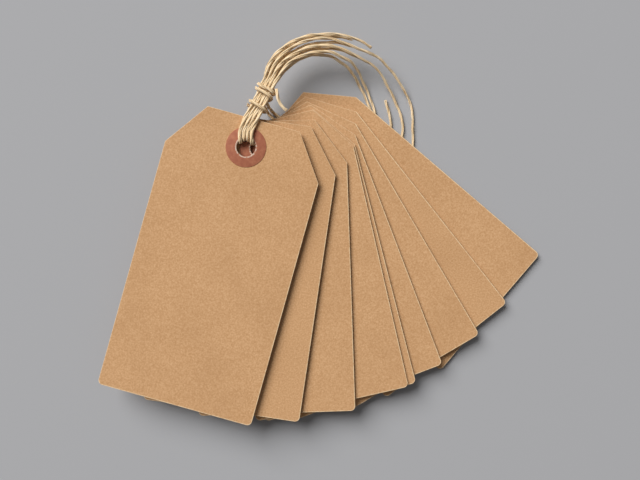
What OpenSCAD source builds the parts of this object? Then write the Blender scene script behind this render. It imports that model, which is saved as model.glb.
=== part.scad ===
// Shipping tags strung and bound in a fanned bunch, in millimetres.

/* [Tag] */
// Width of a tag
tag_w = 60; // [54:1:70]
// Length of a tag
tag_l = 112; // [100:1:130]
// Thickness of the card
card_t = 0.4; // [0.3:0.05:0.5]
// How far each upper corner is clipped inward
clip_w = 12; // [9:0.5:15]
// How far each upper corner is clipped downward
clip_l = 17; // [13:0.5:22]
// Radius of the lower corners
corner_r = 1.8; // [1:0.2:5]

/* [Eyelet] */
// Diameter of the punched hole
hole_d = 7.3; // [7.2:0.1:8.5]
// Distance from the top edge to the middle of the hole
hole_drop = 11; // [10.5:0.25:12]
// Outer diameter of the fibre patch
patch_d = 15.4; // [13:0.2:18]
// Thickness of the fibre patch
patch_t = 0.15; // [0.1:0.05:0.2]

/* [Twine] */
// Diameter of the twine
twine_d = 1.2; // [1:0.05:1.25]
// Space kept between the twine and the tags
ease = 0.2; // [0.15:0.05:0.3]

/* [Bunch] */
// Clear gap between neighbouring tags
tag_gap = 0.15; // [0.15:0.05:0.25]
// Share of the pictured opening of the fan
fan_open = 1; // [0.7:0.05:1]

/* [Hidden] */
$fn = 64;
TAGS = 9;
SIDES = 8;
SWEEP_STEPS = 3;
WIND_TURNS = 3.5;
WIND_RINGS = 24;
WIND_SIDES = 6;

hole_r = hole_d / 2;
twine_r = twine_d / 2;
// Spacing of strands that lie side by side
strand = twine_d + 0.15;
tag_t = card_t + 2 * patch_t;

// Hole and swing of each tag as [x, y, degrees], front to back, from the front tag's hole
FAN = [
    [0, 0, -15.6],
    [5, -0.1, -8.4],
    [8.1, -0.5, 1.9],
    [10.2, 0.3, 12.9],
    [10.8, 0.2, 14.4],
    [11.4, 0.6, 20.8],
    [12.9, 0.2, 30.4],
    [14.9, 1.2, 38.2],
    [18, 2.2, 49.4]
];

// Clear gap behind each tag but the last, front to back
GAPS = [
    twine_d + 2 * ease,
    tag_gap + 0.85,
    tag_gap + 0.35,
    tag_gap,
    tag_gap + 0.15,
    tag_gap + 0.25,
    tag_gap + 0.45,
    tag_gap + 0.45
];

// Heights of the stack: strands on the table, underside of the last tag, then every tag upward
floor_z = twine_r - twine_d / 10;
stack_z = floor_z + twine_r + ease + 0.05;
function gaps_below(k) = k >= TAGS - 1 ? 0 : GAPS[k] + gaps_below(k + 1);
function under_z(k) = stack_z + (TAGS - 1 - k) * tag_t + gaps_below(k);
function card_z(k) = under_z(k) + patch_t;
function middle_z(k) = under_z(k) + tag_t / 2;

// Heights of the strands in front of and behind the first tag, and of the bundle's two rows
front_z = under_z(0) + tag_t + ease + twine_r;
behind_z = under_z(0) - ease - twine_r;
row_gap = twine_d + 0.3;
rear_z = front_z - row_gap;
bundle_z = front_z - row_gap / 2;

// Bundle above the tags: its lower wrap, its upper wrap and the plane where the free ends begin
knot_low = [4.5, hole_drop + 4.4];
knot_high = [7.3, hole_drop + 10.2];
along = (knot_high - knot_low) / norm(knot_high - knot_low);
across = [along.y, -along.x];
bundle_end = 9.2;

function slot(i) = (i - 1.5) * strand;
function bundle(w, c, z) = concat(knot_low + w * along + c * across, [z]);

// Sweep helpers
function unit(v) = v / norm(v);
function turned(p, a) = [p.x * cos(a) - p.y * sin(a), p.x * sin(a) + p.y * cos(a)];
function curve_point(a, b, c, d, t) =
    0.5 * (2 * b + (c - a) * t + (2 * a - 5 * b + 4 * c - d) * t * t
        + (3 * b - a - 3 * c + d) * t * t * t);
function smooth_path(p, steps) = [
    for (i = [0 : len(p) - 2], j = [0 : steps - 1])
        curve_point(p[max(i - 1, 0)], p[i], p[i + 1], p[min(i + 2, len(p) - 1)], j / steps),
    p[len(p) - 1]
];
function tangents(p) = [
    for (i = [0 : len(p) - 1]) unit(p[min(i + 1, len(p) - 1)] - p[max(i - 1, 0)])
];
function square_to(n, t) = unit(n - (n * t) * t);
function first_side(t) = square_to(abs(t.z) > 0.8 ? [1, 0, 0] : [0, 0, 1], t);
function frames(t) = [
    for (i = 0, n = first_side(t[0]); i < len(t); i = i + 1, n = square_to(n, t[min(i, len(t) - 1)])) n
];
function tube_rings(p, r, sides) =
    let (t = tangents(p), n = frames(t))
    [for (i = [0 : len(p) - 1])
        [for (s = [0 : sides - 1])
            let (
                a = 360 * (s + 0.5) / sides,
                q = p[i] + r * (cos(a) * n[i] + sin(a) * cross(t[i], n[i]))
            )
            [q.x, q.y, max(q.z, 0)]]];

module tube(p, r, sides) {
    rings = tube_rings(p, r, sides);
    last = len(p) - 1;
    points = [for (ring = rings, q = ring) q];
    near_cap = [for (s = [1 : sides - 2]) [0, s, s + 1]];
    far_cap = [for (s = [1 : sides - 2]) [last * sides, last * sides + s + 1, last * sides + s]];
    wall_a = [for (i = [0 : last - 1], s = [0 : sides - 1])
        [i * sides + s, (i + 1) * sides + s, (i + 1) * sides + (s + 1) % sides]];
    wall_b = [for (i = [0 : last - 1], s = [0 : sides - 1])
        [i * sides + s, (i + 1) * sides + (s + 1) % sides, i * sides + (s + 1) % sides]];
    polyhedron(points, concat(near_cap, far_cap, wall_a, wall_b), convexity = 10);
}

// Twine looped through the front tag only
loop_reach = hole_r - twine_r - ease - 0.1;
loop_turn = (front_z - behind_z) / 2;
function loop_rim(turn) = [loop_reach * sin(turn), (loop_reach - 0.12) * cos(turn)];
function loop_bend(turn) = [
    for (a = [20 : 20 : 160])
        let (q = loop_rim(turn))
        [q.x, q.y + loop_turn * (1 - sin(a)), behind_z + loop_turn * (1 + cos(a))]
];
function front_leg(i) = [
    bundle(bundle_end - twine_d, slot(i), front_z),
    bundle(6.4, slot(i), front_z),
    bundle(3, slot(i), front_z),
    bundle(0, slot(i), front_z),
    [2.2 + 0.97 * slot(i), hole_drop - 0.2 - 0.45 * slot(i), front_z],
    [0.3 + 1.04 * slot(i), hole_drop - 4.4 - 0.15 * slot(i), front_z]
];
function back_leg(i, bow) = [
    [bow, hole_drop - 1, behind_z],
    bundle(-1.9, slot(i) + 0.16 * i, behind_z),
    bundle(0, slot(i) + 0.06 * i, behind_z),
    bundle(3.5, slot(i), rear_z),
    bundle(6.4, slot(i), rear_z),
    bundle(bundle_end - twine_d, slot(i), rear_z)
];
function loop_path(i, j, turn, bow) =
    let (x = loop_rim(turn).x, y = loop_rim(turn).y + loop_turn)
    concat(
        [bundle(bundle_end, slot(i), front_z)],
        smooth_path(concat(front_leg(i), [[x, y + 1.6, front_z], [x, y, front_z]]), 2),
        loop_bend(turn),
        smooth_path(concat([[x, y, behind_z], [x, y + 1.6, behind_z]], back_leg(j, bow)), 2),
        [bundle(bundle_end, slot(j), rear_z)]
    );

// Twine run through every hole: the middle of the pair at each tag from the second on
RUN_X = [5.4, 7.7, 9.6, 11.2, 12.3, 13.6, 15.45, 17.3];
RUN_Y = [1.65, 1, 1.3, 1.5, 1.3, 1.2, 1.2, 1.9];
function run_tilt(k) = 14 * min(1, max(0, (k - 3) / 3));
function run_at(k, s) = [
    RUN_X[k - 1] - s * strand / 2 * sin(run_tilt(k)),
    RUN_Y[k - 1] + s * strand / 2 * cos(run_tilt(k)),
    middle_z(k)
];
// Where each run goes down through the front tag, and its bends over the rim and to the right
function run_rim(s) = s > 0 ? [strand / 2, 2.55] : [2.2, 1.2];
function run_dive(s) =
    let (q = run_rim(s), m = middle_z(0))
    concat(
        [[q.x, q.y + loop_turn + 1.6, front_z]],
        [for (a = [0 : 45 : 90]) [q.x, q.y + loop_turn * (1 - sin(a)), m + loop_turn * cos(a)]],
        [for (a = [45 : 45 : 90]) [q.x + loop_turn * (1 - cos(a)), q.y, m - loop_turn * sin(a)]],
        s > 0 ? [[3.3, q.y, behind_z]] : []
    );
function run_rear(s) = s > 0
    ? [
        [17.7, 3.6, floor_z],
        [17.7, 5, floor_z],
        [16.4, 6.2, floor_z],
        [14, 8.1, floor_z],
        [11.5, 10.4, floor_z],
        [8.4, 13.8, floor_z],
        [7.3, 15.2, floor_z + 0.5],
        [6.8, 15.9, 3],
        [6.6, 16.2, 6],
        [6.5, 16.4, rear_z - 1.1]
    ]
    : [
        [18.6, 2.1, floor_z],
        [19.6, 4, floor_z],
        [18.7, 6.7, floor_z],
        [15.9, 9.2, floor_z],
        [13.1, 11.6, floor_z],
        [10.6, 14.2, floor_z],
        [9.3, 15.4, floor_z + 0.5],
        [8.6, 15.8, 3],
        [8.3, 15.9, 6],
        [8.1, 16, rear_z - 1.1]
    ];
function run_path(i, j, s) = concat(
    [bundle(bundle_end, slot(i), front_z)],
    smooth_path(concat(
        front_leg(i),
        run_dive(s),
        [for (k = [1 : TAGS - 1]) run_at(k, s)],
        run_rear(s),
        [
            bundle(j == 2 ? 2.7 : 3.3, slot(j), rear_z),
            bundle(5.5, slot(j), rear_z),
            bundle(bundle_end - twine_d, slot(j), rear_z)
        ]
    ), 2),
    [bundle(bundle_end, slot(j), rear_z)]
);

// Binding: one tube wound round the strands, with a straight start and a short tail
wind_x = slot(3) + twine_d + 0.2;
wind_z = row_gap / 2 + twine_d + 0.2;
wind_pitch = twine_d + 0.6;
function eased(t) = t <= 0 ? 0 : t >= 1 ? 1 : t * t * (3 - 2 * t);
function wind_along(t) = -1.3 + wind_pitch * t + 3.5 * eased((t - 1) / 0.5);
// The lower wrap hangs deeper, because the first tag's rear legs are still low there
function wind_deep(t) = wind_z + (rear_z - behind_z + 0.35) * (1 - eased((t - 0.9) / 0.5));
function squared(v) = sign(v) * sqrt(abs(v));
function wind_point(t) =
    let (a = 180 + 360 * t)
    bundle(
        wind_along(t),
        wind_x * squared(cos(a)),
        bundle_z + (sin(a) < 0 ? wind_deep(t) : wind_z) * squared(sin(a))
    );
wound = [for (i = [0 : WIND_TURNS * WIND_RINGS]) wind_point(i / WIND_RINGS)];
wound_start = wound[0] + [0, 0, twine_d];
wound_end = wound[len(wound) - 1];
wound_tail = [
    wound_end + [0.3, -0.4, 1.1],
    wound_end + [0.6, -1.9, 1.6],
    wound_end + [0.9, -3.8, 1.7],
    wound_end + [1.8, -5.7, 1.6],
    wound_end + [3.2, -7.2, 1.5],
    wound_end + [4.2, -8.1, 1.4]
];
binding_path = concat(
    [wound_start],
    wound,
    [for (i = [2 : 2 * len(wound_tail)]) smooth_path(concat([wound_end], wound_tail), 2)[i]]
);
binding_rings = tube_rings(binding_path, twine_r, WIND_SIDES);

// Least gap between the binding and itself, on its ring middles
apart = [
    for (i = [0 : len(binding_path) - 13], j = [i + 12 : len(binding_path) - 1])
        norm(binding_path[i] - binding_path[j])
];
echo("least gap of the binding to itself", min(apart) - twine_d);

// Free ends: each starts at the bundle's end and follows these points
ENDS = [
    [
        [8.7, 30.8, 13.1], [12.4, 36, 12.9], [18, 40, 12.7], [24.5, 42.2, 12.5],
        [31.5, 42.7, 12.2], [36.5, 42.2, 11.9], [40.6, 41.2, 11.4], [44.4, 39.9, 10.8],
        [47.6, 38.3, 10.2]
    ],
    [
        [10.2, 30, 13.1], [13.7, 34.8, 12.9], [19, 38.3, 12.6], [25, 40.4, 12.2],
        [31.5, 41, 11.7], [37.5, 39.5, 10.9], [43.6, 37.6, 9.6], [50.4, 35.2, 7.4],
        [55.2, 31.2, 5], [59.2, 26, 2.8], [62.5, 20.9, 1.1], [64.3, 15, 0.5], [64.5, 4, 0.5],
        [64, -6, 0.5], [61.5, -16.5, 0.5], [57, -27.5, 0.5], [51, -37, 0.5]
    ],
    [
        [11.8, 29, 13.1], [15.3, 33.2, 12.9], [20, 36.3, 12.5], [25, 38, 12.1],
        [31.5, 38.6, 11.5], [35.5, 37.6, 10.9], [41.2, 35.4, 9.2], [47.6, 32.7, 6.6],
        [52.2, 28.4, 4], [56.4, 22, 1.5], [58.6, 17.2, 0.5], [60, 12.4, 0.5], [60.6, 7, 0.5],
        [59.5, -2.5, 0.5], [56.5, -14, 0.5], [51, -24.5, 0.5], [44, -32, 0.5]
    ],
    [
        [13.3, 28.2, 13], [16.6, 32, 12.7], [21, 34.5, 12.3], [25.5, 36, 11.8],
        [31.5, 36.2, 10.9], [36.9, 34.3, 9.3], [39.8, 33, 7.8], [42.4, 30.4, 5.2],
        [44.6, 27, 2.6], [46.7, 23.4, 1], [48.2, 20, 0.5], [49.4, 16.4, 0.5], [50, 13, 0.5],
        [50.6, 10, 0.5], [52, 7.8, 0.5], [54.3, 7.6, 0.5], [55.6, 9.8, 0.5], [55.3, 13, 0.5],
        [54.5, 16.4, 0.5], [53.5, 20, 0.5]
    ],
    [
        [9.3, 30.4, 11.5], [13, 35.5, 11.3], [18.6, 39.2, 11.1], [24.6, 41.4, 10.9],
        [31.5, 42.2, 10.5], [36.4, 41.8, 10.1], [40.4, 40.9, 9.6]
    ],
    [
        [10.9, 29.6, 11.4], [14.5, 34, 11.2], [19.5, 37.3, 10.9], [25, 39.2, 10.5],
        [31.5, 40, 10], [36, 39.2, 9.3], [40, 37.9, 8.4]
    ],
    [
        [12.4, 28.7, 11.4], [16, 32.5, 11.2], [20.4, 35.4, 10.9], [25.4, 37.1, 10.4],
        [31.5, 37.6, 9.7], [36, 36.6, 8.8], [40.6, 34.8, 7.4], [44, 33.2, 6]
    ],
    [
        [13.6, 28, 11.4], [17, 31.5, 11.1], [21.2, 34, 10.7], [25.8, 35.5, 10.1],
        [31.5, 35.4, 8.9], [35.6, 33.7, 7.3], [38.7, 31.7, 5.6], [41.1, 29, 3.4],
        [43.2, 25.8, 1.5], [45.2, 22.4, 0.6], [46.8, 19, 0.5], [48, 15.6, 0.5],
        [48.6, 12.6, 0.5]
    ]
];
function end_start(e) = bundle(bundle_end, slot(e % 4), e < 4 ? front_z : rear_z);
function end_path(e) =
    let (s = end_start(e), d = concat(along, [0]))
    concat([s], smooth_path(concat([s + twine_d * d], ENDS[e]), SWEEP_STEPS));

// Middle of the bunch without its free ends, so that it stands on the frame's origin
function swing(k) = fan_open * FAN[k][2];
function on_tag(k, p) = [FAN[k][0], FAN[k][1]] + turned(p, swing(k));
low_y = hole_drop - tag_l;
LOWER = [
    for (k = [0 : TAGS - 1], s = [-1, 1])
        on_tag(k, [s * (tag_w / 2 - corner_r), low_y + corner_r])
];
UPPER = [
    for (k = [0 : TAGS - 1], s = [-1, 1])
        on_tag(k, [s * (tag_w / 2 - clip_w), hole_drop])
];
CLIPS = [
    for (k = [0 : TAGS - 1], s = [-1, 1])
        on_tag(k, [s * tag_w / 2, hole_drop - clip_l])
];
BOUND = [for (ring = binding_rings, q = ring) [q.x, q.y]];
REACH_LOW = concat([for (p = LOWER) p - [corner_r, corner_r]], UPPER, CLIPS, BOUND);
REACH_HIGH = concat([for (p = LOWER) p + [corner_r, corner_r]], UPPER, CLIPS, BOUND);
centre = [
    (min([for (p = REACH_LOW) p.x]) + max([for (p = REACH_HIGH) p.x])) / 2,
    (min([for (p = REACH_LOW) p.y]) + max([for (p = REACH_HIGH) p.y])) / 2
];
echo("middle of the bunch", centre);

kraft = [0.78, 0.61, 0.44];
fibre = [0.66, 0.43, 0.33];
jute = [0.82, 0.71, 0.57];

// Moves a shape from a tag's own frame, with its hole at the origin, to its place in the bunch
module placed(k, z) {
    translate([FAN[k][0] - centre.x, FAN[k][1] - centre.y, z])
        rotate([0, 0, swing(k)])
            children();
}

// Moves a strand from the layout to the frame of the bunch
module laid() {
    translate([-centre.x, -centre.y, 0])
        children();
}

module tag_outline() {
    x = tag_w / 2;
    polygon([
        [-x + clip_w, hole_drop],
        [-x, hole_drop - clip_l],
        [-x, low_y + corner_r],
        [-x + corner_r, low_y],
        [x - corner_r, low_y],
        [x, low_y + corner_r],
        [x, hole_drop - clip_l],
        [x - clip_w, hole_drop]
    ]);
    for (s = [-1, 1])
        translate([s * (x - corner_r), low_y + corner_r])
            circle(r = corner_r);
}

module tag_card(k) {
    color(kraft)
        placed(k, card_z(k))
            difference() {
                linear_extrude(card_t)
                    tag_outline();
                translate([0, 0, -1])
                    cylinder(d = hole_d, h = card_t + 2);
            }
}

module patch(k, z) {
    color(fibre)
        placed(k, z)
            difference() {
                cylinder(d = patch_d, h = patch_t);
                translate([0, 0, -1])
                    cylinder(d = hole_d, h = patch_t + 2);
            }
}

module front_patch(k) {
    patch(k, card_z(k) + card_t);
}

module rear_patch(k) {
    patch(k, under_z(k));
}

module twine_loop_left() {
    color(jute)
        laid()
            tube(loop_path(0, 0, -52, -0.95), twine_r, SIDES);
}

module twine_loop_right() {
    color(jute)
        laid()
            tube(loop_path(1, 1, -14.5, 1.25), twine_r, SIDES);
}

module twine_run_left() {
    color(jute)
        laid()
            tube(run_path(2, 2, 1), twine_r, SIDES);
}

module twine_run_right() {
    color(jute)
        laid()
            tube(run_path(3, 3, -1), twine_r, SIDES);
}

module twine_binding() {
    color(jute)
        laid()
            tube(binding_path, twine_r, WIND_SIDES);
}

module free_end(e) {
    color(jute)
        laid()
            tube(end_path(e), twine_r, SIDES);
}

for (k = [1 : TAGS]) {
    tag_card(k - 1);
    front_patch(k - 1);
    rear_patch(k - 1);
}
twine_loop_left();
twine_loop_right();
twine_run_left();
twine_run_right();
twine_binding();
for (e = [1 : len(ENDS)]) {
    free_end(e - 1);
}
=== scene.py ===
# Looks of a fanned bunch of strung shipping tags: kraft cards, fibre patches and jute twine

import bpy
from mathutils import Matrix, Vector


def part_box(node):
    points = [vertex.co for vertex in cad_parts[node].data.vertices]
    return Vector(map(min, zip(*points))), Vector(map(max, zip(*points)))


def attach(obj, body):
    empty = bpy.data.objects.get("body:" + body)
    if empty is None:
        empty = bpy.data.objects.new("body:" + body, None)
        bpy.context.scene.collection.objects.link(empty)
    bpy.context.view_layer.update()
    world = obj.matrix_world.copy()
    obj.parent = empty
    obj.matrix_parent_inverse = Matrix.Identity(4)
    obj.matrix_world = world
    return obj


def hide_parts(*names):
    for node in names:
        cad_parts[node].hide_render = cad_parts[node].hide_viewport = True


bl_info = {
    "name": "Shipping tag bunch",
    "version": (1, 0, 0),
    "blender": (4, 5, 0),
    "location": "View3D > Sidebar > Tag Bunch",
    "description": "Dresses a fanned bunch of nine shipping tags strung on jute twine",
    "category": "Object",
}

import math
import random

import bpy
import numpy as np
from mathutils import Matrix, Vector

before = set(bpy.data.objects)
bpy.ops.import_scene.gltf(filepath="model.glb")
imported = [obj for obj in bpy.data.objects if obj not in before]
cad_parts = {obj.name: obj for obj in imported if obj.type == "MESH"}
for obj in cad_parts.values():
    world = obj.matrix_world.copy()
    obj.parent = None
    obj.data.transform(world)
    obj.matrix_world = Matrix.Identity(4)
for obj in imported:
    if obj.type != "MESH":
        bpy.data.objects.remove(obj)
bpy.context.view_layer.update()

MM = 0.001
TAGS = 9

# Turn of each tag in the fan, front tag first, degrees
TAG_TURN = [-15.6, -8.4, 1.9, 12.9, 14.4, 20.8, 30.4, 38.2, 49.4]


def box_middle(node_name):
    """Middle of a node's box at rest, metres"""
    low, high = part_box(node_name)
    return (Vector(low) + Vector(high)) / 2


HOLE_AT = [box_middle(f"tag{k + 1}_front_patch") for k in range(TAGS)]

# Camera, straight down: its place in millimetres from the front tag's hole, and its lens
CAMERA_FROM_HOLE = Vector((27.9, -35.06, 260))
LENS_MM = 38.79
SENSOR_MM = 36

# One large window at the upper left, in metres and watts, in a dim white room
WINDOW_AT = Vector((-3.8, 4.1, 4.9))
WINDOW_WIDE = 5.6
WINDOW_POWER = 770
ROOM_LIGHT = 0.16
FLOOR_WIDE = 30


def linear(hex_colour):
    """Linear red, green and blue of an sRGB hex colour"""
    parts = [int(hex_colour[i:i + 2], 16) / 255 for i in (1, 3, 5)]
    return tuple(p / 12.92 if p <= 0.04045 else ((p + 0.055) / 1.055) ** 2.4 for p in parts)


def size_prop(name, about, millimetres):
    """Length property in metres, given in millimetres"""
    return bpy.props.FloatProperty(name=name, description=about, default=millimetres * MM,
                                   min=0, precision=5, subtype="DISTANCE", unit="LENGTH")


def colour_prop(name, about, hex_colour):
    """Colour property, given as an sRGB hex value"""
    return bpy.props.FloatVectorProperty(name=name, description=about, subtype="COLOR",
                                         size=3, min=0, max=1, default=linear(hex_colour))


class TagSizes(bpy.types.PropertyGroup):
    """Sizes of one tag"""
    tag_width: size_prop("Tag width", "Width of the card", 60)
    tag_length: size_prop("Tag length", "Length of the card", 112)
    card_thick: size_prop("Card thickness", "Thickness of the card", 0.4)
    clip_width: size_prop("Clip width", "Width taken off each upper corner", 12)
    clip_length: size_prop("Clip length", "Length taken off each upper corner", 17)
    corner_round: size_prop("Corner radius", "Radius of the lower corners", 1.8)
    edge_break: size_prop("Edge break", "Rounding of the cut edge", 0.05)
    edge_rim: size_prop("Edge rim", "Width of the pale rim along every edge", 0.14)
    # Painted highlight: a pale band along the right and lower edges only, the side where the
    # cards' shadow lines fall
    edge_highlight: size_prop("Highlight edge", "Width of the worn band along the right and lower edges",
                         0.16)
    hole_drop: size_prop("Hole drop", "From the top edge to the hole's middle", 11)
    hole_wide: size_prop("Hole diameter", "Diameter of the punched hole", 7.3)
    patch_wide: size_prop("Patch diameter", "Diameter of the fibre patch", 15.4)
    patch_thick: size_prop("Patch thickness", "Thickness of the fibre patch", 0.15)
    rim_wide: size_prop("Punched rim", "Width of the pale rim that the punch leaves", 0.5)


class TwineSizes(bpy.types.PropertyGroup):
    """Sizes of the twine"""
    twine_wide: size_prop("Twine diameter", "Diameter over the loose plies", 1.38)
    lay: size_prop("Lay", "Length of one turn of the plies", 20)
    ring_step: size_prop("Ring step", "Distance between rings along the twine", 0.3)
    fibre_wide: size_prop("Fibre width", "Width of a stray fibre at its root", 0.07)
    fray: size_prop("Fray", "Length over which a cut end opens", 2.6)
    wobble: size_prop("Wobble", "How far a free end wanders from its line", 0.32)
    flatten: bpy.props.FloatProperty(
        name="Flatten", description="Share by which the bound front strands are pulled wide",
        default=0.22, min=0)
    strays_per_mm: bpy.props.FloatProperty(
        name="Stray fibres", description="Stray fibres on each millimetre of twine",
        default=0.9, min=0)


class TagColours(bpy.types.PropertyGroup):
    """Colours of the bunch and its floor"""
    kraft: colour_prop("Kraft", "Main colour of the card", "#cb9e71")
    kraft_dark: colour_prop("Kraft shade", "Darker grain in the card", "#b98b5e")
    kraft_light: colour_prop("Kraft light", "Paler grain in the card", "#dcb185")
    kraft_fleck: colour_prop("Kraft fleck", "Dark fibres and clouds in the card", "#a67a4f")
    # Pale cut edge colour, also the painted highlight along the right and lower edges
    cut_edge_and_highlight: colour_prop("Cut edge", "Raw edge of the card", "#e8caa2")
    patch: colour_prop("Patch", "Main colour of the fibre patch", "#a66449")
    patch_dark: colour_prop("Patch shade", "Darker clouds in the patch", "#9d5b43")
    patch_light: colour_prop("Patch light", "Paler clouds in the patch", "#b37254")
    punched: colour_prop("Punched rim", "Raw rim round the hole", "#d3bba8")
    jute_light: colour_prop("Jute light", "Palest jute fibres", "#ffebca")
    jute: colour_prop("Jute", "Main colour of the jute", "#eacda0")
    jute_dark: colour_prop("Jute dark", "Darkest jute fibres", "#9c6e32")
    floor: colour_prop("Floor", "Studio floor", "#aaaaac")


def node(tree, kind, links=None, stops=None, **settings):
    """Add a node with its settings, its sockets' values or links, and a ramp's stops"""
    made = tree.nodes.new(kind)
    for key, value in settings.items():
        setattr(made, key, value)
    for key, value in (links or {}).items():
        if isinstance(value, bpy.types.NodeSocket):
            tree.links.new(value, made.inputs[key])
        else:
            made.inputs[key].default_value = value
    for i, (place, colour) in enumerate(stops or []):
        ramp = made.color_ramp.elements
        stop = ramp[i] if i < 2 else ramp.new(place)
        stop.position = place
        stop.color = (*colour, 1)
    return made


def new_material(name, roughness, specular):
    """Node material with its roughness and specular level, its tree and its shader"""
    made = bpy.data.materials.new(name)
    made.use_nodes = True
    shader = made.node_tree.nodes["Principled BSDF"]
    shader.inputs["Roughness"].default_value = roughness
    shader.inputs["Specular IOR Level"].default_value = specular
    return made, made.node_tree, shader


def per_mm(millimetres):
    """Texture scale at which a feature is this many millimetres across"""
    return 1 / (millimetres * MM)


def kraft_card(colours):
    """Unbleached kraft card, calendered: matte brown with soft clouds and fine flecks"""
    made, tree, shader = new_material("kraft card", 0.82, 0.25)
    place = node(tree, "ShaderNodeAttribute", attribute_name="card_place").outputs["Vector"]
    # Pressed pulp grain, drawn 0.6 mm across so that it shows
    pulp = node(tree, "ShaderNodeTexNoise", {
        "Vector": place, "Scale": per_mm(0.6), "Detail": 2, "Roughness": 0.6})
    tone = node(tree, "ShaderNodeValToRGB", {"Fac": pulp.outputs["Fac"]}, stops=[
        (0.22, colours.kraft_dark), (0.78, colours.kraft_light), (0.5, colours.kraft)])
    # Clouds 22 mm across where the pulp settled thicker
    cloud = node(tree, "ShaderNodeTexNoise", {
        "Vector": place, "Scale": per_mm(22), "Detail": 2})
    thick = node(tree, "ShaderNodeMapRange", {
        "Value": cloud.outputs["Fac"], "From Min": 0.4, "From Max": 0.7, "To Max": 0.18})
    clouded = node(tree, "ShaderNodeMix", {
        0: thick.outputs["Result"], 6: tone.outputs["Color"],
        7: (*colours.kraft_fleck, 1)}, data_type="RGBA")
    # Single dark fibres 2 mm long, drawn 0.4 mm wide so that they show
    along = node(tree, "ShaderNodeMapping", {
        "Vector": place, "Scale": (per_mm(0.4), per_mm(2), per_mm(2))})
    fibres = node(tree, "ShaderNodeTexNoise", {
        "Vector": along.outputs["Vector"], "Scale": 1, "Detail": 2})
    fleck = node(tree, "ShaderNodeMapRange", {
        "Value": fibres.outputs["Fac"], "From Min": 0.6, "From Max": 0.8, "To Max": 0.3})
    flecked = node(tree, "ShaderNodeMix", {
        0: fleck.outputs["Result"], 6: clouded.outputs[2],
        7: (*colours.kraft_fleck, 1)}, data_type="RGBA")
    tree.links.new(flecked.outputs[2], shader.inputs["Base Color"])
    # Pressed surface grain 0.5 mm across
    grain = node(tree, "ShaderNodeTexNoise", {
        "Vector": place, "Scale": per_mm(0.5), "Detail": 3})
    bump = node(tree, "ShaderNodeBump", {
        "Strength": 0.35, "Distance": 0.05 * MM, "Height": grain.outputs["Fac"]})
    tree.links.new(bump.outputs["Normal"], shader.inputs["Normal"])
    return made


def cut_edge_and_highlight(colours):
    """Sheared kraft edge: the paler core of the card with torn fibres along it; the same pale
    colour also makes the painted highlight along the right and lower edges
    """
    made, tree, shader = new_material("sheared kraft edge", 0.95, 0.15)
    place = node(tree, "ShaderNodeAttribute", attribute_name="card_place").outputs["Vector"]
    # Torn tufts 0.9 mm long
    tufts = node(tree, "ShaderNodeTexNoise", {
        "Vector": place, "Scale": per_mm(0.9), "Detail": 3})
    tone = node(tree, "ShaderNodeValToRGB", {"Fac": tufts.outputs["Fac"]}, stops=[
        (0.25, colours.kraft), (0.55, colours.cut_edge_and_highlight)])
    tree.links.new(tone.outputs["Color"], shader.inputs["Base Color"])
    return made


def fibre_patch(colours):
    """Red-brown vulcanised fibre, die cut: dense, a little smoother than the card, cloudy"""
    made, tree, shader = new_material("vulcanised fibre", 0.68, 0.3)
    place = node(tree, "ShaderNodeAttribute", attribute_name="patch_place").outputs["Vector"]
    # Clouds 2.2 mm across in the dyed pulp
    cloud = node(tree, "ShaderNodeTexNoise", {
        "Vector": place, "Scale": per_mm(2.2), "Detail": 4, "Roughness": 0.6})
    tone = node(tree, "ShaderNodeValToRGB", {"Fac": cloud.outputs["Fac"]}, stops=[
        (0.32, colours.patch_dark), (0.7, colours.patch_light), (0.5, colours.patch)])
    tree.links.new(tone.outputs["Color"], shader.inputs["Base Color"])
    # Pressed felt marks 0.45 mm across
    felt = node(tree, "ShaderNodeTexNoise", {
        "Vector": place, "Scale": per_mm(0.45), "Detail": 2})
    bump = node(tree, "ShaderNodeBump", {
        "Strength": 0.4, "Distance": 0.05 * MM, "Height": felt.outputs["Fac"]})
    tree.links.new(bump.outputs["Normal"], shader.inputs["Normal"])
    return made


def punched_rim(colours):
    """Punched fibre rim: the pale raw core that the punch leaves round the hole"""
    made, tree, shader = new_material("punched fibre rim", 0.9, 0.2)
    place = node(tree, "ShaderNodeAttribute", attribute_name="patch_place").outputs["Vector"]
    # Torn tufts 0.8 mm long
    tufts = node(tree, "ShaderNodeTexNoise", {
        "Vector": place, "Scale": per_mm(0.8), "Detail": 3})
    tone = node(tree, "ShaderNodeValToRGB", {"Fac": tufts.outputs["Fac"]}, stops=[
        (0.33, colours.patch_light), (0.55, colours.punched)])
    tree.links.new(tone.outputs["Color"], shader.inputs["Base Color"])
    return made


def jute_twine(colours):
    """Twisted jute, unpolished: pale straw fibres with darker ones between, dull with a sheen"""
    made, tree, shader = new_material("jute twine", 0.75, 0.3)
    lay = node(tree, "ShaderNodeAttribute", attribute_name="twine_lay").outputs["Vector"]
    # Fibres 5 mm long along the ply, drawn 0.16 mm wide so that they show
    along = node(tree, "ShaderNodeMapping", {
        "Vector": lay, "Scale": (per_mm(0.16), per_mm(0.16), per_mm(5))})
    fibres = node(tree, "ShaderNodeTexNoise", {
        "Vector": along.outputs["Vector"], "Scale": 1, "Detail": 2, "Roughness": 0.6})
    tone = node(tree, "ShaderNodeValToRGB", {"Fac": fibres.outputs["Fac"]}, stops=[
        (0.32, colours.jute_dark), (0.66, colours.jute_light), (0.47, colours.jute)])
    tree.links.new(tone.outputs["Color"], shader.inputs["Base Color"])
    bump = node(tree, "ShaderNodeBump", {
        "Strength": 0.6, "Distance": 0.08 * MM, "Height": fibres.outputs["Fac"]})
    tree.links.new(bump.outputs["Normal"], shader.inputs["Normal"])
    shader.inputs["Sheen Weight"].default_value = 0.15
    return made


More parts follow.
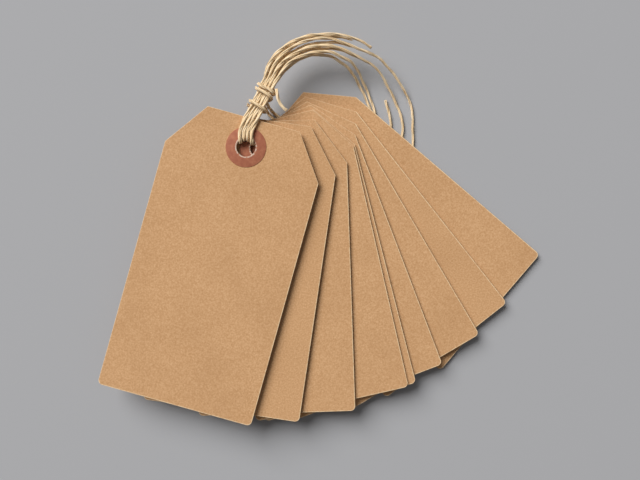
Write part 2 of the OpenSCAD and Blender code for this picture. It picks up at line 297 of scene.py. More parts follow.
# Twine routes in millimetres, measured from the middle of the front tag's hole
LAYOUT_AT = np.array([HOLE_AT[0].x, HOLE_AT[0].y, 0]) / MM
TAG_MIDDLE_Z = [box_middle(f"tag{k + 1}_card").z / MM for k in range(TAGS)]
# Distance between neighbouring strands, and between the bundle's front and rear layers
STRAND = 1.35
LAYER = 1.5
# Half a tag with its two patches, and a strand's middle above the face that it lies on
TAG_HALF = 0.35
STRAND_LIFT = 0.8
FRONT_Z = TAG_MIDDLE_Z[0] + TAG_HALF + STRAND_LIFT
BEHIND_Z = TAG_MIDDLE_Z[0] - TAG_HALF - STRAND_LIFT
REAR_Z = FRONT_Z - LAYER
BUNDLE_Z = FRONT_Z - LAYER / 2
# Middle of a strand on the floor, and the most that it may lift and still count as lying there
FLOOR_Z = 0.63
ON_FLOOR_Z = 0.77
# Height under the cards that the stray fibres of a strand on the floor keep to
UNDER_CARDS_Z = 1.3
# Least height of a stray fibre's middle and of any twine surface
FIBRE_LOW = 0.06
TWINE_LOW = 0.01
# The bundle's line from the lower to the upper wraps, and its length to where the ends part
KNOT_LOW = np.array([4.5, 15.4])
KNOT_HIGH = np.array([7.3, 21.2])
ALONG = (KNOT_HIGH - KNOT_LOW) / np.linalg.norm(KNOT_HIGH - KNOT_LOW)
ACROSS = np.array([ALONG[1], -ALONG[0]])
BUNDLE_END = 9.2
# Reach of the loops round the hole's edge, the bend of a strand over it and the straight before it
LOOP_REACH = (2.75, 2.63)
RIM_TURN = 1.15
RIM_LEAD = 1.6

# Where the pair of through runs passes each hole behind the front tag
RUN_AT = [(5.4, 1.65), (7.7, 1), (9.6, 1.3), (11.2, 1.5), (12.3, 1.3), (13.6, 1.2), (15.45, 1.2),
          (17.3, 1.9)]
# Most that the pair turns about itself on its way down, degrees
RUN_TILT = 14
# Where each run goes over the front rim, and its way behind the rear tag up to the bundle
RUN_RIM = {1: (0.675, 2.55), -1: (2.2, 1.2)}
RUN_REAR = {
    1: [(17.7, 3.6, 0.48), (17.7, 5, 0.48), (16.4, 6.2, 0.48), (14, 8.1, 0.48),
        (11.5, 10.4, 0.48), (8.4, 13.8, 0.48), (7.3, 15.2, 0.98), (6.8, 15.9, 3),
        (6.6, 16.2, 6), (6.5, 16.4, REAR_Z - 1.1)],
    -1: [(18.6, 2.1, 0.48), (19.6, 4, 0.48), (18.7, 6.7, 0.48), (15.9, 9.2, 0.48),
         (13.1, 11.6, 0.48), (10.6, 14.2, 0.48), (9.3, 15.4, 0.98), (8.6, 15.8, 3),
         (8.3, 15.9, 6), (8.1, 16, REAR_Z - 1.1)],
}

# Points of each free end after it leaves the binding
END_POINTS = {
    1: [(8.7, 30.8, 13.1), (12.4, 36, 12.9), (18, 40, 12.7), (24.5, 42.2, 12.5),
        (31.5, 42.7, 12.2), (36.5, 42.2, 11.9), (40.6, 41.2, 11.4), (44.4, 39.9, 10.8),
        (47.6, 38.3, 10.2)],
    2: [(10.2, 30, 13.1), (13.7, 34.8, 12.9), (19, 38.3, 12.6), (25, 40.4, 12.2),
        (31.5, 41, 11.7), (37.5, 39.5, 10.9), (43.6, 37.6, 9.6), (50.4, 35.2, 7.4),
        (55.2, 31.2, 5), (59.2, 26, 2.8), (62.5, 20.9, 1.1), (64.3, 15, 0.5), (64.5, 4, 0.5),
        (64, -6, 0.5), (61.5, -16.5, 0.5), (57, -27.5, 0.5), (51, -37, 0.5)],
    3: [(11.8, 29, 13.1), (15.3, 33.2, 12.9), (20, 36.3, 12.5), (25, 38, 12.1),
        (31.5, 38.6, 11.5), (35.5, 37.6, 10.9), (41.2, 35.4, 9.2), (47.6, 32.7, 6.6),
        (52.2, 28.4, 4), (56.4, 22, 1.5), (58.6, 17.2, 0.5), (60, 12.4, 0.5), (60.6, 7, 0.5),
        (59.5, -2.5, 0.5), (56.5, -14, 0.5), (51, -24.5, 0.5), (44, -32, 0.5)],
    4: [(13.3, 28.2, 13), (16.6, 32, 12.7), (21, 34.5, 12.3), (25.5, 36, 11.8),
        (31.5, 36.2, 10.9), (36.9, 34.3, 9.3), (39.8, 33, 7.8), (42.4, 30.4, 5.2),
        (44.6, 27, 2.6), (46.7, 23.4, 1), (48.2, 20, 0.5), (49.4, 16.4, 0.5), (50, 13, 0.5),
        (50.6, 10, 0.5), (52, 7.8, 0.5), (54.3, 7.6, 0.5), (55.6, 9.8, 0.5), (55.3, 13, 0.5),
        (54.5, 16.4, 0.5), (53.5, 20, 0.5)],
    5: [(9.2, 30.6, 11.5), (13, 35.6, 11.3), (18.4, 39.3, 11.1), (24.6, 41.7, 10.9),
        (31.5, 42.4, 10.6), (36.4, 42.4, 10.2), (40.4, 41.6, 9.8)],
    6: [(10.8, 29.7, 11.4), (14.3, 34.3, 11.2), (19.4, 37.6, 10.9), (25, 39.6, 10.6),
        (31.5, 40.3, 10.1), (36, 40.1, 9.5), (40, 39.2, 8.7)],
    7: [(12.3, 28.9, 11.4), (15.8, 32.9, 11.2), (20.4, 35.7, 10.9), (25.2, 37.4, 10.5),
        (31.5, 37.9, 9.9), (36, 37.5, 9.2), (40.6, 36.1, 7.8), (44, 34.7, 6.4)],
    8: [(13.6, 28, 11.4), (17, 31.5, 11.1), (21.2, 34, 10.7), (25.8, 35.5, 10.1),
        (31.5, 35.4, 8.9), (35.6, 33.7, 7.3), (38.7, 31.7, 5.6), (41.1, 29, 3.4),
        (43.2, 25.8, 1.5), (45.2, 22.4, 0.6), (46.8, 19, 0.5), (48, 15.6, 0.5),
        (48.6, 12.6, 0.5)],
}

# Each length of twine: its middle piece, and the free ends at its front and its rear
LENGTHS = [
    ("twine_loop_left", 1, 5),
    ("twine_loop_right", 2, 6),
    ("twine_run_left", 3, 7),
    ("twine_run_right", 4, 8),
]

# The binding's winding: its reach past the outer strand, its depth, its turns and points a turn
WIND_PAST = 1.4
WIND_DEEP = 2.15
WIND_TURNS = 3.5
WIND_STEPS = 48
# Where the winding starts along the bundle, its rise in a turn and its one long step
WIND_START = -1.3
WIND_RISE = 1.8
WIND_SKIP = 3.5
# Room under the first turn, which also goes round the strands behind the front tag
WIND_ROOM = 0.35
# Turn at which the winding closes up to the bundle, turn of its long step, and share of a turn
# that each of these changes takes
CLOSE_AT, SKIP_AT, CHANGE_OVER = 0.9, 1, 0.5
# The winding's first end stands up by this much, and its short tail follows these steps
WIND_TUCK = 1.2
WIND_TAIL = [(0.3, -0.4, 1.1), (0.6, -1.9, 1.6), (0.9, -3.8, 1.7), (1.8, -5.7, 1.6),
             (3.2, -7.2, 1.5), (4.2, -8.1, 1.4)]


def smooth_line(points, steps=8):
    """Points of a smooth curve through the given points"""
    p = np.asarray(points, float)
    p = np.vstack([2 * p[0] - p[1], p, 2 * p[-1] - p[-2]])
    t = np.arange(steps)[:, None] / steps
    parts = []
    for a, b, c, d in zip(p, p[1:], p[2:], p[3:]):
        parts.append(0.5 * (2 * b + (c - a) * t + (2 * a - 5 * b + 4 * c - d) * t ** 2
                            + (3 * b - a - 3 * c + d) * t ** 3))
    return np.vstack(parts + [p[-2:-1]])


def even_line(points, step):
    """The same line with points an even step apart"""
    p = np.asarray(points, float)
    run = np.concatenate([[0], np.cumsum(np.linalg.norm(np.diff(p, axis=0), axis=1))])
    at = np.linspace(0, run[-1], max(2, round(run[-1] / step)) + 1)
    return np.column_stack([np.interp(at, run, p[:, k]) for k in range(3)])


def side_slot(i):
    """Place of a strand across the bundle"""
    return (i - 1.5) * STRAND


def in_bundle(w, c, z):
    """Point of the bundle at a length w along it and c across it"""
    x, y = KNOT_LOW + w * ALONG + c * ACROSS
    return (x, y, z)


def front_leg(i):
    """Points of a front strand from the bundle down to the front tag's hole"""
    c = side_slot(i)
    return [in_bundle(w, c, FRONT_Z) for w in (8, 6.4, 3, 0)] + [
        (2.2 + 0.97 * c, 10.8 - 0.45 * c, FRONT_Z), (0.3 + 1.04 * c, 6.6 - 0.15 * c, FRONT_Z)]


def rim_bend(x, y, first, last, step):
    """Points of a bend over the front tag's rim, from its front to its rear"""
    return [(x, y + RIM_TURN * (1 - math.sin(math.radians(a))),
             TAG_MIDDLE_Z[0] + RIM_TURN * math.cos(math.radians(a)))
            for a in range(first, last + 1, step)]


def loop_points(i, j, turn, bow):
    """Points of a loop through the front tag's hole, front strand i to rear strand j"""
    x = LOOP_REACH[0] * math.sin(math.radians(turn))
    y = LOOP_REACH[1] * math.cos(math.radians(turn))
    far = y + RIM_TURN
    front = front_leg(i) + [(x, far + RIM_LEAD, FRONT_Z), (x, far, FRONT_Z)]
    c = side_slot(j)
    rear = [(x, far, BEHIND_Z), (x, far + RIM_LEAD, BEHIND_Z), (bow, 10, BEHIND_Z),
            in_bundle(-1.9, c + 0.16 * j, BEHIND_Z), in_bundle(0, c + 0.06 * j, BEHIND_Z),
            in_bundle(3.5, c, REAR_Z), in_bundle(6.4, c, REAR_Z), in_bundle(8, c, REAR_Z)]
    return ([in_bundle(BUNDLE_END, side_slot(i), FRONT_Z)] + list(smooth_line(front))
            + rim_bend(x, y, 20, 160, 20) + list(smooth_line(rear))
            + [in_bundle(BUNDLE_END, c, REAR_Z)])


def run_points(i, j, s):
    """Points of a run through all the holes, front strand i to rear strand j, on side s"""
    c = side_slot(j)
    x, y = RUN_RIM[s]
    dive = [(x, y + RIM_TURN + RIM_LEAD, FRONT_Z)] + rim_bend(x, y, 0, 90, 45)
    dive += [(x + RIM_TURN * (1 - math.cos(math.radians(a))), y,
              TAG_MIDDLE_Z[0] - RIM_TURN * math.sin(math.radians(a))) for a in (45, 90)]
    if s > 0:
        dive.append((3.3, y, BEHIND_Z))
    holes = []
    for k, (at_x, at_y) in enumerate(RUN_AT, 1):
        tilt = math.radians(RUN_TILT * min(1, max(0, (k - 3) / 3)))
        holes.append((at_x - s * STRAND / 2 * math.sin(tilt),
                      at_y + s * STRAND / 2 * math.cos(tilt), TAG_MIDDLE_Z[k]))
    rear = [in_bundle(w, c, REAR_Z) for w in (2.7 if j == 2 else 3.3, 5.5, 8)]
    line = smooth_line(front_leg(i) + dive + holes + RUN_REAR[s] + rear)
    return ([in_bundle(BUNDLE_END, side_slot(i), FRONT_Z)] + list(line)
            + [in_bundle(BUNDLE_END, c, REAR_Z)])


MIDDLE_POINTS = {
    "twine_loop_left": loop_points(0, 0, -52, -0.95),
    "twine_loop_right": loop_points(1, 1, -14.5, 1.25),
    "twine_run_left": run_points(2, 2, 1),
    "twine_run_right": run_points(3, 3, -1),
}


def end_points(e):
    """Points of a free end, from the binding to its cut end"""
    c = side_slot((e - 1) % 4)
    z = FRONT_Z if e < 5 else REAR_Z
    return smooth_line([in_bundle(BUNDLE_END, c, z), in_bundle(BUNDLE_END + 1.2, c, z)]
                       + END_POINTS[e])


def soft_step(v):
    """Smooth step from 0 to 1"""
    v = min(1, max(0, v))
    return v * v * (3 - 2 * v)


def binding_points():
    """Points of the twine wound round the bundle, with its short tail"""
    wind_x = side_slot(3) + WIND_PAST
    points = []
    for n in range(int(WIND_TURNS * WIND_STEPS) + 1):
        t = n / WIND_STEPS
        a = math.pi + 2 * math.pi * t
        squared = [math.copysign(math.sqrt(abs(v)), v) for v in (math.cos(a), math.sin(a))]
        deep = WIND_DEEP
        if math.sin(a) < 0:
            close = soft_step((t - CLOSE_AT) / CHANGE_OVER)
            deep += (REAR_Z - BEHIND_Z + WIND_ROOM) * (1 - close)
        skip = WIND_SKIP * soft_step((t - SKIP_AT) / CHANGE_OVER)
        w = WIND_START + WIND_RISE * t + skip
        points.append(in_bundle(w, wind_x * squared[0], BUNDLE_Z + deep * squared[1]))
    first, last = np.array(points[0]), np.array(points[-1])
    tail = smooth_line([last] + [last + np.array(step) for step in WIND_TAIL])
    return [first + np.array([0, 0, WIND_TUCK])] + points + list(tail[1:])


PLIES = 3
PLY_SIDES = 6
# A ply's middle and half thickness as shares of the twine's half thickness, and how they waver
PLY_OUT, OUT_WAVER = 0.46, 0.06
PLY_THICK, THICK_WAVER = 0.52, 0.1
# How far the plies' turn wavers, radians, and how a frayed end spreads and thins them
TURN_WAVER = 0.35
FRAY_SPREAD, FRAY_THIN = 0.5, 0.3
# A free end fluffs up past the binding and thins towards its tip: shares, and where, millimetres
FLUFF, FLUFF_OVER = 0.06, 5
THIN, THIN_FROM, THIN_OVER = 0.28, 12, 40
# Length past the binding over which a strand comes loose, and how much less it wanders upwards
LOOSE_OVER = 6
UP_SHARE = 0.5
# Distance between the turns of each random wave: kinks to the side and up, and the plies' turn,
# place and thickness
SIDE_WAVE, UP_WAVE = 7, 6
TURN_WAVE, OUT_WAVE, THICK_WAVE = 9, 4, 3
# A strand is pulled flat from this far under the front layer, and fully after this much rise
FLAT_UNDER, FLAT_RISE = 0.5, 0.3
# A way that no strand starts along, to take its first side from
NO_WAY = (0.1, 0.2, 1)
# Half width that the fibre pattern takes a ply to have, and its shifts between plies and lengths
LAY_HALF = 0.35
LAY_PLY, LAY_SEED = 3, 7

# Stray fibres: least and most lean and length, curl, taper, and steps and sides of each
STRAY_LEAN = (0.15, 0.5)
STRAY_LENGTH = (0.8, 2.6)
STRAY_CURL = 0.6
CURL_SHARE = 0.25
STRAY_TAPER = 0.7
STRAY_STEPS = 4
STRAY_SIDES = 3
# A fibre's root lies this share of the way out, and near a piece's end it is this long at most
STRAY_ROOT = 0.8
END_LENGTH, END_GROWTH = 1.2, 0.5
# Shifts of the fibre pattern from one stray fibre to the next, and round its sides
STRAY_SHIFT, SIDE_SHIFT = 3, 0.05


def smoothed(line, rounds):
    """A line of points with its corners smoothed off"""
    line = line.copy()
    for _ in range(rounds):
        line[1:-1] = (line[:-2] + 2 * line[1:-1] + line[2:]) / 4
    return line


class Strand:
    """One twisted length of twine along a line: its rings, sides and plies, in millimetres"""

    def __init__(self, parts, sizes, seed):
        step = sizes.ring_step / MM
        lines = [even_line(part, step) for part in parts]
        self.cuts = [0]
        for line in lines:
            self.cuts.append(self.cuts[-1] + len(line) - 1)
        p = smoothed(np.vstack([lines[0]] + [line[1:] for line in lines[1:]]), 3)
        p[:, 2] = np.maximum(p[:, 2], FLOOR_Z)
        self.middle = p
        gap = np.linalg.norm(np.diff(p, axis=0), axis=1)
        self.run = np.concatenate([[0], np.cumsum(gap)])
        ahead = np.gradient(p, axis=0)
        self.ahead = ahead / np.linalg.norm(ahead, axis=1)[:, None]
        side = np.zeros_like(p)
        last = np.cross(self.ahead[0], NO_WAY)
        for i, t in enumerate(self.ahead):
            last = last - (last @ t) * t
            last = last / np.linalg.norm(last)
            side[i] = last
        self.side, self.up = side, np.cross(self.ahead, side)
        self.random = random.Random(seed)
        self.seed = seed
        # How far each ring is past the binding along a free end
        past = np.zeros(len(p))
        free = len(parts) == 3
        if free:
            past = np.maximum(self.run[self.cuts[1]] - self.run,
                              self.run - self.run[self.cuts[2]])
        self.half = sizes.twine_wide / MM / 2 * (
            1 + FLUFF * np.clip(past / FLUFF_OVER, 0, 1)
            - THIN * np.clip((past - THIN_FROM) / THIN_OVER, 0, 1))
        # Old kinks make the free ends wander, and what is bound or on the floor stays down
        loose = np.clip(past / LOOSE_OVER, 0, 1)
        kink = sizes.wobble / MM * loose[:, None]
        sway = kink * (self.wander(SIDE_WAVE)[:, None] * side
                       + UP_SHARE * self.wander(UP_WAVE)[:, None] * self.up)
        sway[:, 2] *= np.clip(p[:, 2] - FLOOR_Z, 0, 1)
        p += smoothed(sway, 6)
        p[:, 2] = np.maximum(p[:, 2], FLOOR_Z)
        # The front strands are pulled flat and wide from the binding down to the front tag
        on_front = np.clip((p[:, 2] - FRONT_Z + FLAT_UNDER) / FLAT_RISE, 0, 1)
        self.flat = sizes.flatten * on_front * np.clip(1 - past / LOOSE_OVER, 0, 1) * free
        # Distance from the nearer cut end opens the plies of a frayed end
        to_end = np.minimum(self.run, self.run[-1] - self.run)
        fray = np.clip(1 - to_end / (sizes.fray / MM), 0, 1)
        self.turn, self.out, self.thick = [], [], []
        for ply in range(PLIES):
            self.turn.append(2 * math.pi * (self.run / (sizes.lay / MM) + ply / PLIES)
                             + TURN_WAVER * self.wander(TURN_WAVE))
            self.out.append(self.half * (PLY_OUT + OUT_WAVER * self.wander(OUT_WAVE))
                            * (1 + FRAY_SPREAD * fray))
            self.thick.append(self.half * (PLY_THICK + THICK_WAVER * self.wander(THICK_WAVE))
                              * (1 - FRAY_THIN * fray))

    def wander(self, spacing):
        """Slow random wave between -1 and 1, with turns this many millimetres apart"""
        count = int(self.run[-1] / spacing) + 3
        values = [self.random.uniform(-1, 1) for _ in range(count)]
        return np.interp(self.run / spacing, range(count), values)

    def plies(self, first, last):
        """Vertices, faces and fibre places of the plies between two rings"""
        points, faces, lays, base = [], [], [], 0
        rings = last - first + 1
        around = 2 * np.pi * np.arange(PLY_SIDES) / PLY_SIDES
        cut = slice(first, last + 1)
        side, up = self.side[cut][:, None], self.up[cut][:, None]
        level = np.cross(self.ahead[cut], (0, 0, 1))[:, None]
        for ply in range(PLIES):
            turn = self.turn[ply][cut][:, None]
            out = self.out[ply][cut][:, None, None]
            thick = self.thick[ply][cut][:, None, None]
            turned, angle = turn[..., None], (turn + around)[..., None]
            off = (out * (np.cos(turned) * side + np.sin(turned) * up)
                   + thick * (np.cos(angle) * side + np.sin(angle) * up))
            wide = (off * level).sum(axis=2, keepdims=True) * level
            off = off + self.flat[cut][:, None, None] * wide
            points.append((self.middle[cut][:, None] + off).reshape(-1, 3))
            lay = np.empty((rings, PLY_SIDES, 3))
            lay[..., 0] = LAY_HALF * np.cos(around) + LAY_PLY * ply
            lay[..., 1] = LAY_HALF * np.sin(around) + LAY_SEED * self.seed
            lay[..., 2] = self.run[cut][:, None]
            lays.append(lay.reshape(-1, 3))
            faces += tube_faces(base, rings, PLY_SIDES)
            base += rings * PLY_SIDES
        return np.vstack(points), faces, np.vstack(lays)

    def strays(self, first, last, count, sizes):
        """Vertices, faces and fibre places of stray fibres that stand off the twine"""
        points, faces, lays = [], [], []
        pick = self.random
        root = sizes.fibre_wide / MM / 2
        for n in range(count):
            i = pick.randint(first, last)
            angle = pick.uniform(0, 2 * math.pi)
            off = math.cos(angle) * self.side[i] + math.sin(angle) * self.up[i]
            lean = pick.uniform(*STRAY_LEAN)
            sense = pick.choice((-1, 1))
            way = sense * math.cos(lean) * self.ahead[i] + math.sin(lean) * off
            curl = np.array([pick.uniform(-STRAY_CURL, STRAY_CURL) for _ in range(3)])
            near_end = min(i - first, last - i) * sizes.ring_step / MM
            length = min(pick.uniform(*STRAY_LENGTH), END_LENGTH + END_GROWTH * near_end)
            start = self.middle[i] + STRAY_ROOT * self.half[i] * off
            ceiling = UNDER_CARDS_Z if self.middle[i][2] < ON_FLOOR_Z else math.inf
            base = len(points)
            for k in range(STRAY_STEPS + 1):
                t = k / STRAY_STEPS
                at = start + length * t * way + CURL_SHARE * length * t * t * curl
                at[2] = min(max(at[2], FIBRE_LOW), ceiling)
                wide = root * (1 - STRAY_TAPER * t)
                for j in range(STRAY_SIDES):
                    a = 2 * math.pi * j / STRAY_SIDES
                    points.append(at + wide * (math.cos(a) * off
                                               + math.sin(a) * np.cross(way, off)))
                    lays.append((STRAY_SHIFT * n, SIDE_SHIFT * j, length * t))
            faces += tube_faces(base, STRAY_STEPS + 1, STRAY_SIDES)
        return np.array(points).reshape(-1, 3), faces, np.array(lays).reshape(-1, 3)


def tube_faces(base, rings, sides):
    """Faces of a closed tube whose rings of vertices follow each other from a first vertex"""
    faces = []
    for a in range(base, base + (rings - 1) * sides, sides):
        for j in range(sides):
            k = (j + 1) % sides
            faces.append((a + j, a + k, a + sides + k, a + sides + j))
    faces.append(tuple(base + j for j in reversed(range(sides))))
    top = base + (rings - 1) * sides
    faces.append(tuple(top + j for j in range(sides)))
    return faces


def twine_piece(name, strand, first, last, strays, sizes, material):
    """Mesh object of the part of a strand between two rings, with its stray fibres"""
    points, faces, lays = strand.plies(first, last)
    more, more_faces, more_lays = strand.strays(first, last, strays, sizes)
    count = len(points)
    points = np.vstack([points, more])
    points[:, 2] = np.maximum(points[:, 2], TWINE_LOW)
    lays = np.vstack([lays, more_lays])
    faces += [tuple(count + v for v in face) for face in more_faces]
    mesh = bpy.data.meshes.new(name)
    mesh.from_pydata(((points + LAYOUT_AT) * MM).tolist(), [], faces)
    mesh.polygons.foreach_set("use_smooth", [True] * len(mesh.polygons))
    place = mesh.attributes.new("twine_lay", "FLOAT_VECTOR", "POINT")
    place.data.foreach_set("vector", (lays * MM).ravel())
    mesh.materials.append(material)
    mesh.update()
    piece = bpy.data.objects.new(name, mesh)
    bpy.context.scene.collection.objects.link(piece)
    return piece


def only(piece):
    """Select one object alone and make it active"""
    bpy.ops.object.select_all(action="DESELECT")
    piece.select_set(True)
    bpy.context.view_layer.objects.active = piece


def pick_out(piece, kind, test):
    """Enter edit mode with the vertices or the faces that pass a test selected"""
    only(piece)
    bpy.ops.object.mode_set(mode="EDIT")
    bpy.ops.mesh.select_mode(type=kind)
    bpy.ops.mesh.select_all(action="DESELECT")
    bpy.ops.object.mode_set(mode="OBJECT")
    for item in piece.data.vertices if kind == "VERT" else piece.data.polygons:
        item.select = test(item)
    bpy.ops.object.mode_set(mode="EDIT")


def finish_modifier(piece, kind, **settings):
    """Add a modifier to a piece and apply it"""
    only(piece)
    made = piece.modifiers.new(kind.title(), kind)
    for key, value in settings.items():
        setattr(made, key, value)
    bpy.ops.object.modifier_apply(modifier=made.name)


def placed_copy(master, name, attribute, apart, turn, place, over=False):
    """Copy of a master piece with its own mesh, turned about the hole and set in its place"""
    piece = master.copy()
    piece.data = master.data.copy()
    piece.name = piece.data.name = name
    bpy.context.scene.collection.objects.link(piece)
    # Each vertex keeps its place on the master, moved apart from the other copies' grain
    at = np.empty(len(piece.data.vertices) * 3)
    piece.data.vertices.foreach_get("co", at)
    grain = piece.data.attributes.new(attribute, "FLOAT_VECTOR", "POINT")
    grain.data.foreach_set("vector", (at.reshape(-1, 3) + np.array(apart)).ravel())
    flip = Matrix.Rotation(math.pi, 4, "X") if over else Matrix.Identity(4)
    piece.matrix_world = (Matrix.Translation(place)
                          @ Matrix.Rotation(math.radians(turn), 4, "Z") @ flip)
    only(piece)
    bpy.ops.object.transform_apply(location=True, rotation=True, scale=True)
    return piece


class TAGBUNCH_OT_stage(bpy.types.Operator):
    """Set up the floor, the soft light and the camera straight above"""
    bl_idname = "tagbunch.stage"
    bl_label = "Stage"

    def execute(self, context):
        scene = context.scene
        scene.view_settings.view_transform = "Standard"

        bpy.ops.object.select_all(action="DESELECT")
        bpy.ops.mesh.primitive_plane_add(size=FLOOR_WIDE)
        floor = context.object
        floor.name = "floor"
        paper, _, shader = new_material("matte studio paper", 0.95, 0.1)
        shader.inputs["Base Color"].default_value = (*scene.tag_colours.floor, 1)
        floor.data.materials.append(paper)

        world = bpy.data.worlds.new("soft room")
        world.use_nodes = True
        room = world.node_tree.nodes["Background"]
        room.inputs["Color"].default_value = (1, 1, 1, 1)
        room.inputs["Strength"].default_value = ROOM_LIGHT
        scene.world = world

        lamp = bpy.data.lights.new("window", "AREA")
        lamp.shape, lamp.size, lamp.energy = "DISK", WINDOW_WIDE, WINDOW_POWER
        window = bpy.data.objects.new("window", lamp)
        window.location = WINDOW_AT
        window.rotation_euler = (-WINDOW_AT).to_track_quat("-Z", "Y").to_euler()
        scene.collection.objects.link(window)

        lens = bpy.data.cameras.new("camera")
        lens.sensor_width, lens.lens, lens.clip_start = SENSOR_MM, LENS_MM, 0.01
        camera = bpy.data.objects.new("camera", lens)
        camera.location = HOLE_AT[0] + CAMERA_FROM_HOLE * MM
        scene.collection.objects.link(camera)
        scene.camera = camera
        return {"FINISHED"}


class TAGBUNCH_OT_twine(bpy.types.Operator):
    """Twist the four lengths of twine, each with its two free ends, and the binding"""
    bl_idname = "tagbunch.twine"
    bl_label = "Twine"

    def execute(self, context):
        sizes = context.scene.twine_sizes
        jute = jute_twine(context.scene.tag_colours)
        for number, (middle, front, rear) in enumerate(LENGTHS):
            strand = Strand([end_points(front)[::-1], MIDDLE_POINTS[middle], end_points(rear)],
                            sizes, number + 1)
            cuts = strand.cuts
            for e, first, last in ((front, cuts[0], cuts[1]), (rear, cuts[2], cuts[3])):
                length = strand.run[last] - strand.run[first]
                piece = twine_piece(f"cord_free_end_{e}", strand, first, last,
                                    round(length * sizes.strays_per_mm), sizes, jute)
                path = strand.middle[first:last + 1]
                if e == front:
                    path = path[::-1]
                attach(piece, "twine")
                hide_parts(f"free_end_{e}")
            piece = twine_piece(f"strand_{middle}", strand, cuts[1], cuts[2], 0, sizes, jute)
            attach(piece, "twine")
            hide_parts(middle)
        strand = Strand([binding_points()], sizes, len(LENGTHS) + 1)
        last = strand.cuts[1]
        piece = twine_piece("strand_twine_binding", strand, 0, last,
                            round(strand.run[last] * sizes.strays_per_mm / 2), sizes, jute)
        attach(piece, "twine")
        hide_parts("twine_binding")
        return {"FINISHED"}


# Sides of the punch, and how far apart the cards' grains are taken from one kraft sheet, metres
PUNCH_SIDES = 72
CARD_APART = np.array([0.31, 0.17, 0.05])


def lies_flat(face):
    """Whether a face lies in the plane of the card"""
    return abs(face.normal.z) > 0.9


class TAGBUNCH_OT_cards(bpy.types.Operator):
    """Cut one card and lay nine copies in the fan"""
    bl_idname = "tagbunch.cards"
    bl_label = "Cards"

    def execute(self, context):
        size = context.scene.tag_sizes
        colours = context.scene.tag_colours
        wide, long, drop = size.tag_width, size.tag_length, size.hole_drop
        foot = drop - long

        bpy.ops.object.select_all(action="DESELECT")
        bpy.ops.mesh.primitive_plane_add(size=1, location=(0, drop - long / 2, 0))
        card = context.object
        card.scale = (wide, long, 1)
        bpy.ops.object.transform_apply(location=True, rotation=True, scale=True)
        for side in (-1, 1):
            pick_out(card, "VERT", lambda vertex: True)
            bpy.ops.mesh.bisect(plane_co=(side * (wide / 2 - size.clip_width), drop, 0),
                                plane_no=(side * size.clip_length, size.clip_width, 0),
                                clear_outer=True)
            bpy.ops.object.mode_set(mode="OBJECT")
        pick_out(card, "VERT", lambda vertex: vertex.co.y < foot + size.corner_round / 2)
        bpy.ops.mesh.bevel(affect="VERTICES", offset=size.corner_round, segments=10)
        bpy.ops.object.mode_set(mode="OBJECT")
        finish_modifier(card, "SOLIDIFY", thickness=size.card_thick, offset=1)
        card.data.materials.clear()
        card.data.materials.append(kraft_card(colours))
        card.data.materials.append(cut_edge_and_highlight(colours))

        # The pale rim goes all round, and a painted highlight band goes only along the right and
        # lower edges, where the cards' shadow lines fall
        pick_out(card, "FACE", lies_flat)
        bpy.ops.mesh.inset(thickness=size.edge_rim)
        bpy.ops.object.mode_set(mode="OBJECT")
        for face in card.data.polygons:
            face.material_index = 0 if face.select else 1
        bpy.ops.object.mode_set(mode="EDIT")
        bpy.ops.mesh.inset(thickness=size.edge_highlight)
        bpy.ops.object.mode_set(mode="OBJECT")
        # Faces of the inner band near the right and lower edges take the pale edge colour as a
        # painted highlight
        band = size.edge_rim + size.edge_highlight + size.corner_round / 2
        for face in card.data.polygons:
            painted_highlight = face.center.x > wide / 2 - band or face.center.y < foot + band
            if painted_highlight and not face.select:
                face.material_index = 1
        finish_modifier(card, "BEVEL", width=size.edge_break, segments=2,
                        limit_method="ANGLE", angle_limit=math.radians(60))

        bpy.ops.object.select_all(action="DESELECT")
        bpy.ops.mesh.primitive_cylinder_add(vertices=PUNCH_SIDES, radius=size.hole_wide / 2,
                                            depth=20 * size.card_thick)
        punch = context.object
        finish_modifier(card, "BOOLEAN", operation="DIFFERENCE", object=punch, solver="EXACT")
        bpy.data.objects.remove(punch, do_unlink=True)
        only(card)
        bpy.ops.object.shade_smooth_by_angle(angle=math.radians(35))
        for face in card.data.polygons:
            if not lies_flat(face):
                face.material_index = 1
        low = min(v.co.z for v in card.data.vertices)
        card.data.transform(Matrix.Translation((0, 0, -low)))

        for k in range(TAGS):
            node_name = f"tag{k + 1}_card"
            place = Vector((HOLE_AT[k].x, HOLE_AT[k].y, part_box(node_name)[0][2]))
            laid = placed_copy(card, f"kraft_card_{k + 1}", "card_place", k * CARD_APART,
                               TAG_TURN[k], place)
            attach(laid, f"tag{k + 1}")
            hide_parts(node_name)
        bpy.data.objects.remove(card, do_unlink=True)
        return {"FINISHED"}


# Sides of the patch, its turn from one tag to the next in degrees, and how far apart the
# patches' clouds are taken, tag by tag and front to rear, metres
PATCH_SIDES = 96
PATCH_TURN = 40
PATCH_APART = np.array([0.013, 0, 0.01])
REAR_APART = np.array([0, 0.05, 0])


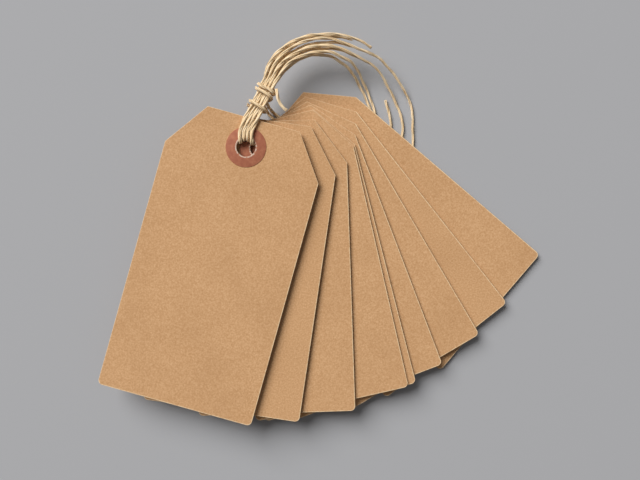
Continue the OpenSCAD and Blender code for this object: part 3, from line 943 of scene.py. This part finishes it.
class TAGBUNCH_OT_patches(bpy.types.Operator):
    """Punch one fibre patch and glue a copy on each side of every card"""
    bl_idname = "tagbunch.patches"
    bl_label = "Patches"

    def execute(self, context):
        size = context.scene.tag_sizes
        colours = context.scene.tag_colours
        inner, outer, thick = size.hole_wide / 2, size.patch_wide / 2, size.patch_thick
        rim = size.rim_wide
        # Radius and height round the section, from the hole's foot over the rim and out
        section = [(inner, 0.7 * thick), (inner + 0.28 * rim, 1.2 * thick),
                   (inner + 0.62 * rim, 1.15 * thick), (inner + rim, thick),
                   (outer - 1.1 * thick, thick), (outer - 0.3 * thick, 0.72 * thick),
                   (outer, 0), (inner, 0)]

        bpy.ops.object.select_all(action="DESELECT")
        bpy.ops.mesh.primitive_circle_add(vertices=PATCH_SIDES, radius=inner,
                                          fill_type="NOTHING")
        patch = context.object
        bpy.ops.object.mode_set(mode="EDIT")
        bpy.ops.mesh.select_all(action="SELECT")
        radius, height = inner, 0
        for next_radius, next_height in section:
            bpy.ops.mesh.extrude_edges_indiv()
            grow = next_radius / radius
            bpy.ops.transform.resize(value=(grow, grow, 1), center_override=(0, 0, height))
            bpy.ops.transform.translate(value=(0, 0, next_height - height))
            radius, height = next_radius, next_height
        bpy.ops.mesh.select_all(action="SELECT")
        bpy.ops.mesh.remove_doubles(threshold=0.001 * MM)
        bpy.ops.mesh.normals_make_consistent(inside=False)
        bpy.ops.object.mode_set(mode="OBJECT")
        only(patch)
        bpy.ops.object.shade_smooth_by_angle(angle=math.radians(50))

        patch.data.materials.append(fibre_patch(colours))
        patch.data.materials.append(punched_rim(colours))
        for face in patch.data.polygons:
            near = math.hypot(face.center.x, face.center.y) < inner + rim
            face.material_index = 1 if near and face.center.z > 0.01 * thick else 0

        for k in range(TAGS):
            for side, over in (("front", False), ("rear", True)):
                node_name = f"tag{k + 1}_{side}_patch"
                low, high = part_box(node_name)
                place = Vector((HOLE_AT[k].x, HOLE_AT[k].y, high[2] if over else low[2]))
                glued = placed_copy(patch, f"fibre_patch_{side}_{k + 1}", "patch_place",
                                    k * PATCH_APART + over * REAR_APART, PATCH_TURN * k,
                                    place, over)
                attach(glued, f"tag{k + 1}")
                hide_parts(node_name)
        bpy.data.objects.remove(patch, do_unlink=True)
        return {"FINISHED"}


class TAGBUNCH_PT_panel(bpy.types.Panel):
    """Sidebar panel with the steps in order, the sizes and the colours"""
    bl_idname = "TAGBUNCH_PT_panel"
    bl_label = "Tag Bunch"
    bl_space_type = "VIEW_3D"
    bl_region_type = "UI"
    bl_category = "Tag Bunch"

    def draw(self, context):
        for step in STEPS:
            self.layout.operator(step.bl_idname)
        for group in (context.scene.tag_sizes, context.scene.twine_sizes,
                      context.scene.tag_colours):
            box = self.layout.box()
            for name in group.__annotations__:
                box.prop(group, name)


STEPS = (TAGBUNCH_OT_stage, TAGBUNCH_OT_twine, TAGBUNCH_OT_cards, TAGBUNCH_OT_patches)
CLASSES = (TagSizes, TwineSizes, TagColours) + STEPS + (TAGBUNCH_PT_panel,)


def register():
    for cls in CLASSES:
        bpy.utils.register_class(cls)
    bpy.types.Scene.tag_sizes = bpy.props.PointerProperty(type=TagSizes)
    bpy.types.Scene.twine_sizes = bpy.props.PointerProperty(type=TwineSizes)
    bpy.types.Scene.tag_colours = bpy.props.PointerProperty(type=TagColours)


def unregister():
    del bpy.types.Scene.tag_colours
    del bpy.types.Scene.twine_sizes
    del bpy.types.Scene.tag_sizes
    for cls in reversed(CLASSES):
        bpy.utils.unregister_class(cls)


def main():
    """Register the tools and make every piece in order"""
    register()
    bpy.ops.tagbunch.stage()
    bpy.ops.tagbunch.twine()
    bpy.ops.tagbunch.cards()
    bpy.ops.tagbunch.patches()


if __name__ == "__main__":
    main()
